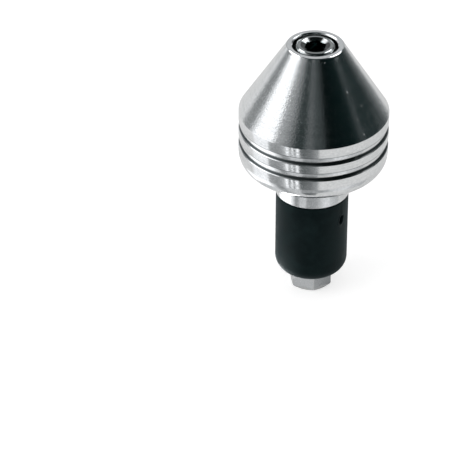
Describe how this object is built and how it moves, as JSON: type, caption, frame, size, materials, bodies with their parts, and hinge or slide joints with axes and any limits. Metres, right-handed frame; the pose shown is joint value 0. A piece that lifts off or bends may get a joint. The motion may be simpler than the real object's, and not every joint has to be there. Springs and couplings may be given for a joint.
{
  "type": "bar end weight",
  "caption": "Conical handlebar end weight with two grooves, a centring collar and a rubber sleeve that a socket screw and a nut squeeze to grip inside the tube.",
  "frame": {"origin": "centre of the flat shoulder that meets the end of the handlebar tube", "axes": "+Z along the axis, from the tube towards the nose; -Y faces the picture's camera"},
  "size_m": [0.038, 0.038, 0.0713],
  "materials": {
    "polished_metal": "turned and polished",
    "screw_steel": "bright plated",
    "sleeve_rubber": "matte, moulded",
    "nut_steel": "zinc plated"
  },
  "bodies": {
    "weight": {"weight_body": "polished_metal", "rubber_sleeve": "sleeve_rubber"},
    "screw": {"cap_screw": "screw_steel"},
    "nut": {"hex_nut": "nut_steel"}
  },
  "joints": [
    {"name": "screw_turn", "type": "hinge", "parent": "weight", "child": "screw", "pos_m": [0, 0, 0], "axis": [0, 0, -1], "range_deg": [0, 1080]},
    {"name": "nut_draw", "type": "slide", "parent": "weight", "child": "nut", "axis": [0, 0, 1], "range_m": [0, 0.003], "deforming": ["rubber_sleeve"]}
  ],
  "couplings": [
    {"joint": "nut_draw", "follows": "screw_turn", "m_per_rad": 0.00015915}
  ]
}
